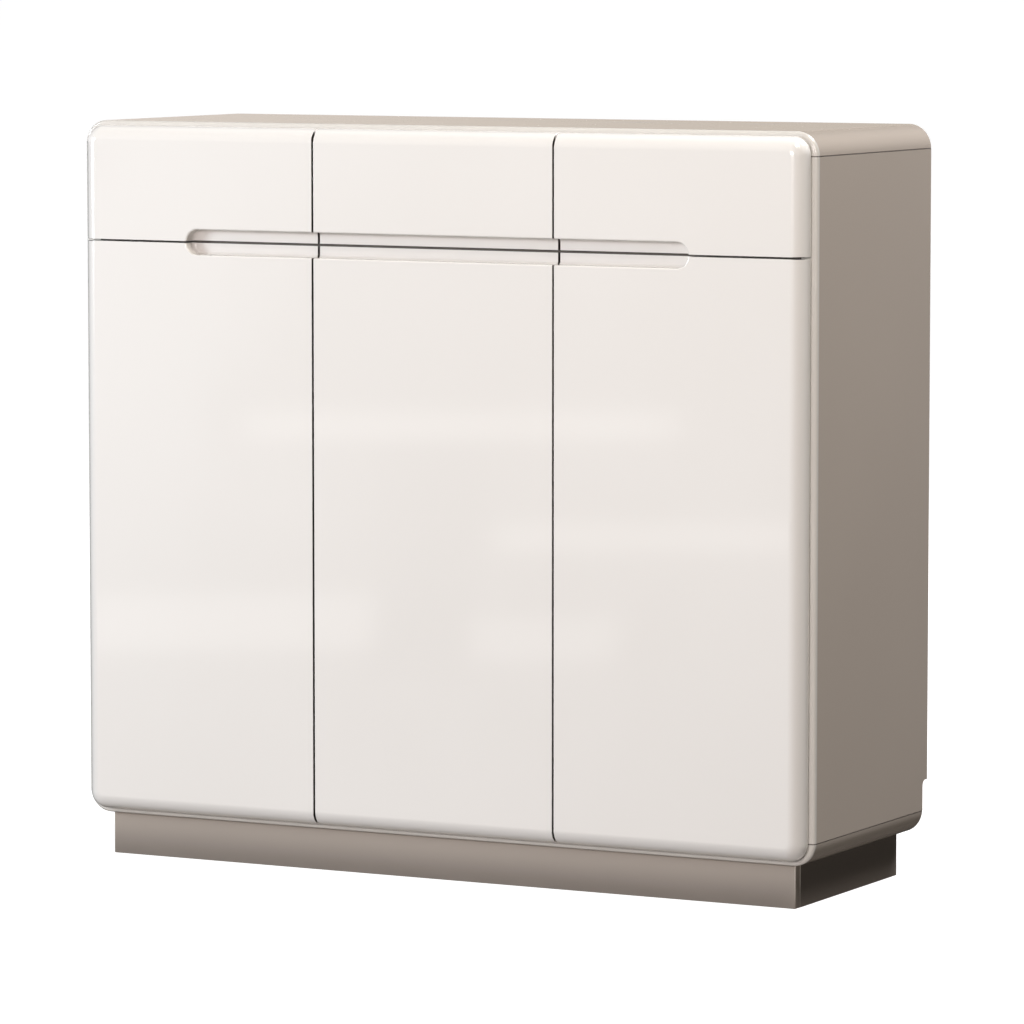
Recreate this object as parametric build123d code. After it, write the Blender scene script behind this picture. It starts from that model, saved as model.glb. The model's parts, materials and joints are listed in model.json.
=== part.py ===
from build123d import *
import os

# Sideboard with three drawers over three doors, on a set-back plinth. Millimetres.
# X runs to the right as seen from the front, Y to the back, Z up from the floor.
# The origin is at floor level, in the middle of the overall width and depth.

# Overall size
width = 1200
height = 1100
carcass_depth = 390
front_thickness = 24
stand_off = 2.5
depth = carcass_depth + stand_off + front_thickness

# Carcass boards
top_thickness = 35
bottom_thickness = 33
side_thickness = 25
partition_thickness = 18
deck_thickness = 18
roll_arris = 0.5
lipping_thickness = 6
lipping_round = 4

# Plinth
plinth_height = 63
plinth_board = 16
plinth_side_inset = 35
plinth_front_inset = 11
plinth_back_inset = 30
plinth_edge_round = 2

# Back panels and the notch that clears a skirting board
back_thickness = 5
back_recess = 20.25
back_groove_depth = 6.5
back_tongue = 6
notch_depth = 16
notch_top = 141
notch_round = 9

# Doors and drawer fronts
front_side_margin = 9.5
front_top_margin = 7
front_bottom_margin = 7.5
front_corner_radius = 26
front_roundover = 22
front_arris = 0.8
front_gap = 3
front_split_x = 197.375
front_split_z = 923.6

# Finger recess across all six fronts
grip_length = 822.8
grip_height = 37.4
grip_depth = 19.4
grip_floor_fillet = 5

# Shelves and their pins, one row of holes near each corner
shelf_thickness = 18
shelves_per_bay = 2
shelf_set_back = 20
shelf_play = 1.5
shelf_rear_play = 3
pin_radius = 2.5
pin_hole_radius = 2.55
pin_length = 16
pin_hole_depth = 8
pin_pitch = 32
pin_steps = 2
pin_from_front = 57
pin_from_back = 45

# Concealed hinges: their axis stands 8 in from the door's edge and 6 behind its face
hinge_axis_in = 8
hinge_axis_from_face = 6
hinge_end_distance = 100
cup_radius = 17.5
cup_depth = 13
cup_wall = 1.2
cup_centre = 24.5
cup_flange = 1.2
cup_flange_width = 26
cup_flange_height = 54
arm_width = 11
plate_thickness = 2.5
plate_start = 20
plate_length = 37
plate_height = 50

# Drawers and their runners
runner_length = 350
runner_set_back = 3
runner_space = 12.7
runner_gauge = 1.2
runner_z = 990
drawer_side_thickness = 12
drawer_side_height = 90
drawer_side_length = 345
drawer_bottom_thickness = 5
drawer_bottom_rise = 10
drawer_groove_depth = 6
drawer_tongue = 5.5
groove_play = 0.1

# Cam fasteners and bumpers
cam_radius = 7.5
cam_depth = 12.5
cam_axis_depth = 9
cam_from_end = 34
cam_bolt_radius = 3.5
cam_bolt_bite = 11
cam_play = 0.1
cam_y_places = (-110, 130)
bumper_radius = 3.5
bumper_thickness = 2.2
bumper_offset = 4.75

# Planes worked out from the above
half_width = width / 2
front_y = -depth / 2
fronts_back_y = front_y + front_thickness
ring_y = fronts_back_y + stand_off
board_y = ring_y + lipping_thickness
rear_y = depth / 2
back_panel_rear_y = rear_y - back_recess
back_panel_y = back_panel_rear_y - back_thickness
notch_y = rear_y - notch_depth
bottom_top_z = plinth_height + bottom_thickness
top_low_z = height - top_thickness
side_inner_x = half_width - side_thickness
deck_low_z = front_split_z - deck_thickness / 2
deck_top_z = deck_low_z + deck_thickness
fronts_low_z = plinth_height + front_bottom_margin
fronts_high_z = height - front_top_margin
fronts_edge_x = half_width - front_side_margin
partition_half = partition_thickness / 2
shelf_pitch = (deck_low_z - bottom_top_z + shelf_thickness) / (shelves_per_bay + 1)
door_high_z = front_split_z - front_gap / 2
hinge_heights = (fronts_low_z + hinge_end_distance, door_high_z - hinge_end_distance)

split_low = front_split_x - front_gap / 2
split_high = front_split_x + front_gap / 2
bay_walls = {
    "left": (-side_inner_x, -front_split_x - partition_half),
    "middle": (-front_split_x + partition_half, front_split_x - partition_half),
    "right": (front_split_x + partition_half, side_inner_x),
}
front_spans = {
    "left": (-fronts_edge_x, -split_high),
    "middle": (-split_low, split_low),
    "right": (split_high, fronts_edge_x),
}
# The upright that each cupboard's hinges are screwed to, and which way the door lies from it
hinge_walls = {
    "left": (-fronts_edge_x, -side_inner_x, 1),
    "middle": (-split_low, -front_split_x + partition_half, 1),
    "right": (fronts_edge_x, side_inner_x, -1),
}


def block(x, y, z):
    """A box between a low and a high value along each axis."""
    spans = [sorted(pair) for pair in (x, y, z)]
    sizes = [high - low for low, high in spans]
    corner = Pos(*[low for low, high in spans])
    return corner * Box(*sizes, align=(Align.MIN, Align.MIN, Align.MIN))


def rod(radius, start, direction, length):
    """A round bar from a start point along a direction."""
    return extrude(Plane(origin=start, z_dir=direction) * Circle(radius), length)


def save(node, *solids):
    """Write one node: a single piece, or a group of equal small ones."""
    shape = solids[0] if len(solids) == 1 else Compound(list(solids))
    export_step(shape, f"parts/{node}.step")


def cut(body, tools):
    """The body with every tool taken out of it."""
    for tool in tools:
        body -= tool
    return body


# Cam fasteners ---------------------------------------------------------------


def cam_places():
    """Each joint of an upright with a board: face x, way into the upright, end z, way up."""
    faces = (
        (-side_inner_x, -1),
        (-front_split_x - partition_half, 1),
        (front_split_x + partition_half, -1),
        (side_inner_x, 1),
    )
    ends = ((top_low_z, 1), (bottom_top_z, -1))
    return [
        (face, inward, y, end, way)
        for face, inward in faces
        for y in cam_y_places
        for end, way in ends
    ]


def cam_solids(play):
    """Cams and their bolts, or with some play the holes that they sit in."""
    solids = []
    for face, inward, y, end, way in cam_places():
        cam_z = end - way * cam_from_end
        bolt_x = face + inward * cam_axis_depth
        bolt_z = cam_z + way * (cam_radius + 0.2)
        bolt_length = abs(end - bolt_z) + cam_bolt_bite
        solids.append(rod(cam_radius + play, (face, y, cam_z), (inward, 0, 0), cam_depth + play))
        solids.append(rod(cam_bolt_radius + play, (bolt_x, y, bolt_z), (0, 0, way), bolt_length + play))
    return solids


# Shelves and pins ------------------------------------------------------------

shelf_low_zs = [bottom_top_z + (k + 1) * shelf_pitch - shelf_thickness for k in range(shelves_per_bay)]
pin_rows_y = (ring_y + pin_from_front, back_panel_y - pin_from_back)


def pin_solids():
    """Four pins under every shelf, half of each pushed into the upright."""
    pins = []
    for low, high in bay_walls.values():
        for shelf_z in shelf_low_zs:
            for y in pin_rows_y:
                z = shelf_z - pin_radius
                pins.append(rod(pin_radius, (low - pin_hole_depth, y, z), (1, 0, 0), pin_length))
                pins.append(rod(pin_radius, (high + pin_hole_depth, y, z), (-1, 0, 0), pin_length))
    return pins


def pin_holes(face_x, inward):
    """Rows of pin holes in one face of an upright."""
    holes = []
    for shelf_z in shelf_low_zs:
        for step in range(-pin_steps, pin_steps + 1):
            z = shelf_z - pin_radius + step * pin_pitch
            for y in pin_rows_y:
                holes.append(rod(pin_hole_radius, (face_x, y, z), (inward, 0, 0), pin_hole_depth))
    return holes


# Carcass ---------------------------------------------------------------------


def rolled_board(y, z, rolled_z):
    """A full-width board whose two ends are rolled over at the height given."""
    board = block((-half_width, half_width), y, z)
    ends = board.edges().filter_by(Axis.Y).group_by(Axis.Z)
    rolled = ends[-1] if rolled_z == z[1] else ends[0]
    return fillet(rolled, z[1] - z[0] - roll_arris)


def back_groove(x, z):
    """The room that a back panel's edge slides into."""
    return block(x, (back_panel_y - groove_play, back_panel_rear_y + groove_play), z)


cam_holes = cam_solids(cam_play)
groove_x = side_inner_x + back_groove_depth
groove_span_z = (bottom_top_z - back_groove_depth, top_low_z + back_groove_depth)


def top_board():
    board = rolled_board((board_y, rear_y), (top_low_z, height), height)
    groove = back_groove((-groove_x, groove_x), groove_span_z)
    return cut(board, [groove] + cam_holes)


def bottom_board():
    board = rolled_board((board_y, notch_y), (plinth_height, bottom_top_z), plinth_height)
    groove = back_groove((-groove_x, groove_x), groove_span_z)
    return cut(board, [groove] + cam_holes)


def side_panel(way):
    """A side panel, grooved for the back, notched over the skirting board, its seams eased."""
    x = (way * side_inner_x, way * half_width)
    panel = block(x, (board_y, rear_y), (bottom_top_z, top_low_z))
    outer = panel.faces().sort_by(lambda face: way * face.center().X)[-1]
    panel = chamfer(outer.edges().filter_by(Axis.Y), roll_arris)
    notch = block(x, (notch_y, rear_y), (bottom_top_z, notch_top))
    inner_top = notch.edges().filter_by(Axis.X).group_by(Axis.Z)[-1].sort_by(Axis.Y)[0]
    notch = fillet(inner_top, notch_round)
    groove = back_groove((way * side_inner_x, way * groove_x), groove_span_z)
    return cut(panel, [notch, groove] + cam_holes + pin_holes(way * side_inner_x, way))


def partition(way):
    """An upright between two bays, its rear edge against the back panels."""
    centre = way * front_split_x
    x = (centre - partition_half, centre + partition_half)
    panel = block(x, (ring_y, back_panel_y), (bottom_top_z, top_low_z))
    holes = pin_holes(centre - partition_half, 1) + pin_holes(centre + partition_half, -1)
    return cut(panel, cam_holes + holes)


def back_panel(bay):
    """A thin back in the carcass's grooves, meeting its neighbour behind a partition."""
    edges = {
        "left": (-side_inner_x - back_tongue, -front_split_x),
        "middle": (-front_split_x, front_split_x),
        "right": (front_split_x, side_inner_x + back_tongue),
    }
    z = (bottom_top_z - back_tongue, top_low_z + back_tongue)
    return block(edges[bay], (back_panel_y, back_panel_rear_y), z)


def shelf(bay, low_z):
    low, high = bay_walls[bay]
    y = (ring_y + shelf_set_back, back_panel_y - shelf_rear_play)
    return block((low + shelf_play, high - shelf_play), y, (low_z, low_z + shelf_thickness))


def board_lipping(z, rolled_z):
    """The pale strip on the front edge of the top or bottom board, rounded outside."""
    strip = rolled_board((ring_y, board_y), z, rolled_z)
    inner_z = z[0] if rolled_z == z[1] else z[1]
    rim = [
        edge
        for edge in strip.faces().sort_by(Axis.Y)[0].edges()
        if abs(edge.center().Z - inner_z) > roll_arris / 4
    ]
    return fillet(rim, lipping_round)


def side_lipping(way):
    strip = block((way * side_inner_x, way * half_width), (ring_y, board_y), (bottom_top_z, top_low_z))
    outer = strip.edges().filter_by(Axis.Z).group_by(Axis.Y)[0].sort_by(lambda e: way * e.center().X)[-1]
    return fillet(outer, lipping_round)


# Plinth ----------------------------------------------------------------------

plinth_x = half_width - plinth_side_inset
plinth_front_y = ring_y + plinth_front_inset
plinth_rear_y = rear_y - plinth_back_inset
plinth_z = (0, plinth_height)


def plinth_front_board():
    """The full-width front board, its two upright front edges rounded."""
    board = block((-plinth_x, plinth_x), (plinth_front_y, plinth_front_y + plinth_board), plinth_z)
    uprights = board.edges().filter_by(Axis.Z).group_by(Axis.Y)[0]
    return fillet(uprights, plinth_edge_round)


def plinth_back_board():
    reach = plinth_x - plinth_board
    return block((-reach, reach), (plinth_rear_y - plinth_board, plinth_rear_y), plinth_z)


def plinth_side_board(way):
    """A side board butted behind the front board, with its outer edge eased at that seam."""
    y = (plinth_front_y + plinth_board, plinth_rear_y)
    board = block((way * (plinth_x - plinth_board), way * plinth_x), y, plinth_z)
    uprights = board.edges().filter_by(Axis.Z).group_by(Axis.Y)[0]
    outer = uprights.sort_by(lambda edge: way * edge.center().X)[-1]
    return chamfer(outer, roll_arris)


# Fronts ----------------------------------------------------------------------


def grip_recess():
    """The long round-ended recess, with a soft corner round its floor."""
    plane = Plane(origin=(0, front_y - 1, front_split_z), x_dir=(1, 0, 0), z_dir=(0, 1, 0))
    pocket = extrude(plane * SlotOverall(grip_length, grip_height), grip_depth + 1)
    floor = pocket.faces().sort_by(Axis.Y)[-1].edges()
    return fillet(floor, grip_floor_fillet)


def front_field():
    """All six fronts as one slab, with rounded corners and a pillowed outer edge."""
    x = (-fronts_edge_x, fronts_edge_x)
    slab = block(x, (front_y, fronts_back_y), (fronts_low_z, fronts_high_z))
    slab = fillet(slab.edges().filter_by(Axis.Y), front_corner_radius)
    rim = slab.faces().sort_by(Axis.Y)[0].edges()
    return fillet(rim, front_roundover)


def front_piece(field, bay, z):
    """One door or drawer front cut from the slab, with a fine arris where it was cut."""
    low, high = front_spans[bay]
    piece = field & block((low, high), (front_y - 1, fronts_back_y + 1), z)
    inner_xs = [x for x in (low, high) if abs(x) < fronts_edge_x]
    inner_zs = [value for value in z if fronts_low_z < value < fronts_high_z]
    cut_edges = [
        edge
        for edge in piece.edges()
        if edge.center().Y < fronts_back_y - 0.1
        and (lies_in(edge, "X", inner_xs) or lies_in(edge, "Z", inner_zs))
        and not lies_in_both(edge, inner_xs, inner_zs)
    ]
    return fillet(cut_edges, front_arris) - grip_recess()


def lies_in(edge, axis, places):
    """Whether an edge lies wholly in a plane at one of the places along an axis."""
    box = edge.bounding_box()
    low, high = getattr(box.min, axis), getattr(box.max, axis)
    return any(abs(low - place) < 0.01 and abs(high - place) < 0.01 for place in places)


def lies_in_both(edge, xs, zs):
    return lies_in(edge, "X", xs) and lies_in(edge, "Z", zs)


# Hinges ----------------------------------------------------------------------


def cup_bores(bay):
    """The round pockets in a door's back for its hinge cups."""
    edge, wall, way = hinge_walls[bay]
    x = edge + way * cup_centre
    return [
        rod(cup_radius + 0.05, (x, fronts_back_y, z), (0, -1, 0), cup_depth + 0.1) for z in hinge_heights
    ]


def hinge_cup(bay, z):
    """A pressed cup with the flange that is screwed to the door's back."""
    edge, wall, way = hinge_walls[bay]
    x = edge + way * cup_centre
    cup = rod(cup_radius, (x, fronts_back_y, z), (0, -1, 0), cup_depth)
    half_w, half_h = cup_flange_width / 2, cup_flange_height / 2
    flange_y = (fronts_back_y, fronts_back_y + cup_flange)
    flange = block((x - half_w, x + half_w), flange_y, (z - half_h, z + half_h))
    flange = fillet(flange.edges().filter_by(Axis.Y), half_w / 2)
    hollow_start = (x, fronts_back_y + cup_flange, z)
    hollow_length = cup_flange + cup_depth - cup_wall
    return cup + flange - rod(cup_radius - cup_wall, hollow_start, (0, -1, 0), hollow_length)


def hinge_mount(bay, z):
    """A mounting plate on the upright and the cranked arm that reaches into the cup."""
    edge, wall, way = hinge_walls[bay]
    plate_y = (ring_y + plate_start, ring_y + plate_start + plate_length)
    half_h = plate_height / 2
    plate = block((wall, wall + way * plate_thickness), plate_y, (z - half_h, z + half_h))
    wall_in = abs(wall - edge)
    near = wall_in + plate_thickness
    far = wall_in + 14
    # Distance in from the door's edge, distance behind the carcass's front edge
    outline = [(near, 60), (near, 12), (27, 2), (27, -12), (30, -12), (31, 2), (far, 16), (far, 60)]
    points = [(edge + way * along, ring_y + back, z - arm_width / 2) for along, back in outline]
    arm = extrude(make_face(Polyline(*points, close=True)), arm_width, dir=(0, 0, 1))
    return plate, arm


# Drawers ---------------------------------------------------------------------

runner_y = (ring_y + runner_set_back, ring_y + runner_set_back + runner_length)
drawer_low_z = runner_z - drawer_side_height / 2
drawer_high_z = drawer_low_z + drawer_side_height
drawer_bottom_z = drawer_low_z + drawer_bottom_rise
drawer_rear_y = fronts_back_y + drawer_side_length


def channel(wall, way, web, lips, half_height):
    """A steel channel: web and lips given as distances from the upright's face."""
    web_x = (wall + way * web[0], wall + way * web[1])
    lip_x = (wall + way * lips[0], wall + way * lips[1])
    inner = half_height - runner_gauge
    body = block(web_x, runner_y, (runner_z - half_height, runner_z + half_height))
    body += block(lip_x, runner_y, (runner_z + inner, runner_z + half_height))
    return body + block(lip_x, runner_y, (runner_z - half_height, runner_z - inner))


def runner_pair(bay, web, lips, half_height):
    low, high = bay_walls[bay]
    return [channel(low, 1, web, lips, half_height), channel(high, -1, web, lips, half_height)]


def drawer_box(bay):
    """The two sides, the back and the bottom of one drawer."""
    low, high = bay_walls[bay]
    outer = (low + runner_space, high - runner_space)
    inner = (outer[0] + drawer_side_thickness, outer[1] - drawer_side_thickness)
    side_y = (fronts_back_y, drawer_rear_y)
    side_z = (drawer_low_z, drawer_high_z)
    groove_z = (drawer_bottom_z - groove_play, drawer_bottom_z + drawer_bottom_thickness + groove_play)
    groove_x_span = (inner[0] - drawer_groove_depth, inner[1] + drawer_groove_depth)
    groove = block(groove_x_span, side_y, groove_z)
    sides = [block((outer[0], inner[0]), side_y, side_z) - groove]
    sides.append(block((inner[1], outer[1]), side_y, side_z) - groove)
    back_low_z = drawer_bottom_z + drawer_bottom_thickness
    back = block(inner, (drawer_rear_y - drawer_side_thickness, drawer_rear_y), (back_low_z, drawer_high_z))
    bottom_x = (inner[0] - drawer_tongue, inner[1] + drawer_tongue)
    bottom_y = (fronts_back_y - drawer_tongue, drawer_rear_y)
    bottom = block(bottom_x, bottom_y, (drawer_bottom_z, back_low_z))
    front_groove = block(groove_x_span, (fronts_back_y - drawer_groove_depth, fronts_back_y), groove_z)
    return sides, back, bottom, front_groove


# Bumpers ---------------------------------------------------------------------


def bumper(x, z):
    return rod(bumper_radius, (x, ring_y, z), (0, -1, 0), bumper_thickness)


def bumper_solids():
    """Soft dots on the carcass's front edges, behind each door's free side and each drawer."""
    door_xs = (
        -front_split_x - bumper_offset,
        front_split_x - bumper_offset,
        front_split_x + bumper_offset,
    )
    drawer_xs = [x + way * 5 for x, way in ((-fronts_edge_x, 1), (fronts_edge_x, -1))]
    drawer_xs += [way * (front_split_x + side * bumper_offset) for way in (-1, 1) for side in (-1, 1)]
    door_zs = (bottom_top_z + 20, deck_low_z - 20)
    dots = [bumper(x, z) for x in door_xs for z in door_zs]
    return dots + [bumper(x, top_low_z - 20) for x in drawer_xs]


# Write every piece -----------------------------------------------------------

os.makedirs("parts", exist_ok=True)

save("top_board", top_board())
save("bottom_board", bottom_board())
save("lipping_top", board_lipping((top_low_z, height), height))
save("lipping_bottom", board_lipping((plinth_height, bottom_top_z), plinth_height))
for name, way in (("left", -1), ("right", 1)):
    save(f"side_{name}", side_panel(way))
    save(f"lipping_{name}", side_lipping(way))
    save(f"partition_{name}", partition(way))
    save(f"plinth_{name}", plinth_side_board(way))
save("plinth_front", plinth_front_board())
save("plinth_back", plinth_back_board())
save("cam_fasteners", *cam_solids(0))
save("shelf_pins", *pin_solids())
save("bumpers", *bumper_solids())

field = front_field()
for bay, walls in bay_walls.items():
    save(f"deck_{bay}", block(walls, (ring_y, back_panel_y), (deck_low_z, deck_top_z)))
    save(f"back_{bay}", back_panel(bay))
    for level, low_z in zip(("lower", "upper"), shelf_low_zs):
        save(f"shelf_{level}_{bay}", shelf(bay, low_z))

    door = front_piece(field, bay, (fronts_low_z, door_high_z))
    save(f"door_{bay}", cut(door, cup_bores(bay)))
    save(f"hinge_cups_{bay}", *[hinge_cup(bay, z) for z in hinge_heights])
    save(f"hinge_mounts_{bay}", *[piece for z in hinge_heights for piece in hinge_mount(bay, z)])

    sides, back, bottom, front_groove = drawer_box(bay)
    front = front_piece(field, bay, (front_split_z + front_gap / 2, fronts_high_z))
    save(f"drawer_front_{bay}", front - front_groove)
    save(f"drawer_sides_{bay}", *sides)
    save(f"drawer_back_{bay}", back)
    save(f"drawer_bottom_{bay}", bottom)
    save(f"runner_cabinet_{bay}", *runner_pair(bay, (0, 1.2), (0, 9.5), 22.8))
    save(f"runner_middle_{bay}", *runner_pair(bay, (3, 4.2), (3, 10.5), 18.6))
    save(f"runner_drawer_{bay}", *runner_pair(bay, (11.5, 12.7), (6, 12.7), 14.5))
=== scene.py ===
import json
import math

import bmesh
import bpy
from mathutils import Matrix, Vector


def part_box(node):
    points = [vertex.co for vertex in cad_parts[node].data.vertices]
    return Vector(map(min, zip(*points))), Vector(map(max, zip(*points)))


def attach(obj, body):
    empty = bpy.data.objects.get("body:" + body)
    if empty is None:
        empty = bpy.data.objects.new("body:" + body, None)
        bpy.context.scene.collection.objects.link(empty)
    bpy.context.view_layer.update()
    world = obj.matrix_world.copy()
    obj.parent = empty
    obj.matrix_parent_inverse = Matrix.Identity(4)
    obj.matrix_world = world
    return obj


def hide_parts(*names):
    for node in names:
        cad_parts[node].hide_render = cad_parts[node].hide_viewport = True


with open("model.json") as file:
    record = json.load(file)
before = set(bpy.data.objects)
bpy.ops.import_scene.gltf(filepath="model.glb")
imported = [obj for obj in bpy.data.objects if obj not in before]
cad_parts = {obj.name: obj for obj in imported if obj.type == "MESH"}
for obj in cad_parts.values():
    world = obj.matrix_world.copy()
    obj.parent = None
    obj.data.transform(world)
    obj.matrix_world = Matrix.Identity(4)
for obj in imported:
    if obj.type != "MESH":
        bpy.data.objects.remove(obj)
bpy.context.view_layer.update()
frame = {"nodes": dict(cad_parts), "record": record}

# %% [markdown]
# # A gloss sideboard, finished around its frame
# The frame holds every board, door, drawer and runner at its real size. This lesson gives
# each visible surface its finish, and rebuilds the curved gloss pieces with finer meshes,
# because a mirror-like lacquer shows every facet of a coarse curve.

# %% [markdown]
# ## Sizes read from the frame
# Every plane of the furniture comes from the boxes of its boards, so the finer pieces
# always agree with the frame. Only the small radii, which a box can't tell, are named here.

# %% Planes and radii
MM = 0.001
BAYS = ("left", "middle", "right")

half_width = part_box("top_board")[1].x
top_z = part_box("top_board")[1].z
top_seam_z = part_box("top_board")[0].z
bottom_seam_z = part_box("bottom_board")[1].z
bottom_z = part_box("bottom_board")[0].z
board_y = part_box("top_board")[0].y
rear_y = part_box("top_board")[1].y
bottom_rear_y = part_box("bottom_board")[1].y
ring_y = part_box("lipping_top")[0].y
side_inner_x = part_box("side_right")[0].x

front_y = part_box("door_left")[0].y
fronts_back_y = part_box("door_left")[1].y
fronts_low_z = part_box("door_left")[0].z
fronts_high_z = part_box("drawer_front_left")[1].z
fronts_edge_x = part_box("door_right")[1].x
split_z = (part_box("door_left")[1].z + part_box("drawer_front_left")[0].z) / 2
split_x = (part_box("door_right")[0].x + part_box("door_middle")[1].x) / 2

roll_radius = 34.5 * MM
seam_arris = 0.6 * MM
lipping_round = 4 * MM
corner_radius = 26 * MM
pillow_radius = 22 * MM
front_arris = 0.8 * MM
grip_half_length = 411.4 * MM
grip_half_height = 18.7 * MM
grip_depth = 19.4 * MM
grip_fillet = 5 * MM
grip_rim_round = 2.2 * MM
cup_radius = 17.6 * MM
cup_depth = 13.1 * MM
print("fronts:", round(2 * fronts_edge_x, 4), "m wide")
print("fronts from", round(fronts_low_z, 4), "to", round(fronts_high_z, 4), "m high")

# %% [markdown]
# ## Shader maths as plain expressions
# A node tree for a finish is mostly arithmetic on a few noises. Wrapping an output socket
# in a small class lets that arithmetic be written the way it is thought.


# %% A socket that can be added and multiplied
class Socket:
    """One output of a node. Arithmetic on it adds Math nodes to its material."""

    def __init__(self, sheet, socket):
        self.sheet = sheet
        self.socket = socket

    def maths(self, operation, other, reflected=False):
        """A Math node on this and another value, the other one first if reflected."""
        first, second = (other, self) if reflected else (self, other)
        return self.sheet.node("ShaderNodeMath", {"operation": operation}, {0: first, 1: second})

    def __add__(self, other):
        return self.maths("ADD", other)

    def __radd__(self, other):
        return self.maths("ADD", other, reflected=True)

    def __sub__(self, other):
        return self.maths("SUBTRACT", other)

    def __rsub__(self, other):
        return self.maths("SUBTRACT", other, reflected=True)

    def __mul__(self, other):
        return self.maths("MULTIPLY", other)

    def __rmul__(self, other):
        return self.maths("MULTIPLY", other, reflected=True)

    def __abs__(self):
        return self.maths("ABSOLUTE", 0)


# %% [markdown]
# A sheet is the node tree those sockets are drawn on. One method makes any node, and the
# others are the few things a finish asks for: a place on the piece, a noise, a soft step,
# a mix of two colours and a bump.


# %% The sheet they are drawn on
class Sheet:
    """The node tree of one finish."""

    fade = 1.1  # a mark has gone at this many times its reach
    mix_factor, mix_first, mix_second, mix_result = 0, 6, 7, 2  # a Mix node's sockets for colour

    def __init__(self, name):
        self.material = bpy.data.materials.new(name)
        self.material.use_nodes = True
        self.tree = self.material.node_tree
        self.tree.nodes.clear()

    def node(self, kind, settings=None, inputs=None, output=0):
        """Add a node: its settings first, then the values or links of its sockets."""
        made = self.tree.nodes.new(kind)
        for key, value in (settings or {}).items():
            setattr(made, key, value)
        for key, value in (inputs or {}).items():
            if isinstance(value, Socket):
                self.tree.links.new(value.socket, made.inputs[key])
            else:
                made.inputs[key].default_value = value
        return Socket(self, made.outputs[output])

    def place(self):
        """Where a point is on its piece."""
        return self.node("ShaderNodeTexCoord", output="Object")

    def along(self, axis):
        """A point's distance along X, Y or Z in the piece's own frame, in metres."""
        return self.node("ShaderNodeSeparateXYZ", None, {"Vector": self.place()}, output=axis)

    def near(self, value, place, reach):
        """1 where a value is within reach of a place, falling quickly to 0 beyond."""
        return self.ramp(abs(value - place), self.fade * reach, reach)

    def noise(self, scale, detail=2.0, stretch=(1, 1, 1)):
        """A soft noise, in features per metre, stretched along an axis if asked."""
        where = self.node("ShaderNodeMapping", None, {"Vector": self.place(), "Scale": stretch})
        inputs = {"Vector": where, "Scale": scale, "Detail": detail}
        return self.node("ShaderNodeTexNoise", None, inputs)

    def ramp(self, value, low, high):
        """Turn a value between low and high into 0 to 1, with soft ends."""
        settings = {"interpolation_type": "SMOOTHSTEP"}
        inputs = {"Value": value, "From Min": low, "From Max": high}
        return self.node("ShaderNodeMapRange", settings, inputs)

    def mix(self, factor, first, second, blend="MIX"):
        """Lay a second colour over the first where the factor is 1."""
        settings = {"data_type": "RGBA", "blend_type": blend}
        inputs = {self.mix_factor: factor, self.mix_first: first, self.mix_second: second}
        return self.node("ShaderNodeMix", settings, inputs, output=self.mix_result)

    def bump(self, height, distance, strength):
        """Tilt the surface as a relief of this height would."""
        inputs = {"Height": height, "Distance": distance, "Strength": strength}
        return self.node("ShaderNodeBump", None, inputs)

    def finish(self, **sockets):
        """End the sheet in a Principled surface with these sockets set or linked."""
        inputs = {key.replace("_", " "): value for key, value in sockets.items()}
        surface = self.node("ShaderNodeBsdfPrincipled", None, inputs)
        end = self.tree.nodes.new("ShaderNodeOutputMaterial")
        self.tree.links.new(surface.socket, end.inputs["Surface"])
        return self.material


# %% [markdown]
# ## Gloss lacquer
# The fronts and the carcass are fibreboard under sprayed, polished paint: a body colour
# below a clear top coat. It looks dead flat, but a trace of orange peel softens what it
# mirrors, and a faint clouding keeps a metre of one colour from looking printed. The
# peel is a bump of microns at a few millimetres, so it shows only in reflections.


# %% A lacquer, with marks of painted shade and painted highlight
def lacquer(name, colour, deeper, roughness, coat, *marks):
    """Each mark is a function that gives a mask, and the colour the paint has there."""
    sheet = Sheet(name)
    cloud = sheet.ramp(sheet.noise(1.7, 3), 0.35, 0.65)
    smear = sheet.noise(11, 4, stretch=(1, 1, 0.3))
    peel = sheet.noise(170, 1) + 0.3 * sheet.noise(620, 0)
    paint = sheet.mix(cloud, (*deeper, 1), (*colour, 1))
    unmarked = 1
    # Each mark lays its colour over the paint: painted shade, or at the plinth corner a painted
    # highlight.
    for mask_of, mark_colour in marks:
        mask = mask_of(sheet)
        paint = sheet.mix(mask, paint, (*mark_colour, 1))
        unmarked = (1 - mask) * unmarked
    return sheet.finish(
        Base_Color=paint,
        Roughness=smear * 0.05 + (roughness + 0.175) - 0.2 * unmarked,
        Coat_Weight=coat * unmarked,
        Coat_Roughness=0.03,
        Normal=sheet.bump(peel, 0.06 * MM, 0.35),
    )


# %% [markdown]
# The paint isn't even everywhere. On the fronts, the edges inside the gaps carry a line of
# painted shade just behind the face, and the finger recess has painted shade, a little
# darker and warmer, round its rim. Each mark is a mask made from a point's place on the
# piece.


# %% Where the fronts carry painted shade
def shade_in_the_gaps(sheet):
    """Painted shade: a dark line behind the face, and another behind the floor of the finger
    recess.
    """
    sideways, height = abs(sheet.along("X")), sheet.along("Z")
    depth = sheet.along("Y") - front_y
    upright = sheet.near(sideways, split_x, gap_reach)
    level = sheet.near(height, split_z, gap_reach)
    at_recess = sheet.near(sideways, 0, grip_half_length)
    at_recess = at_recess * sheet.near(height, split_z, grip_half_height)
    behind_face = sheet.ramp(depth, *gap_shade_starts) * sheet.ramp(depth, *gap_shade_ends)
    behind_recess = at_recess * sheet.ramp(depth, grip_depth - 1.5 * MM, grip_depth - 0.5 * MM)
    return (1 - (1 - upright) * (1 - level)) * (behind_face + behind_recess)


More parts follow.
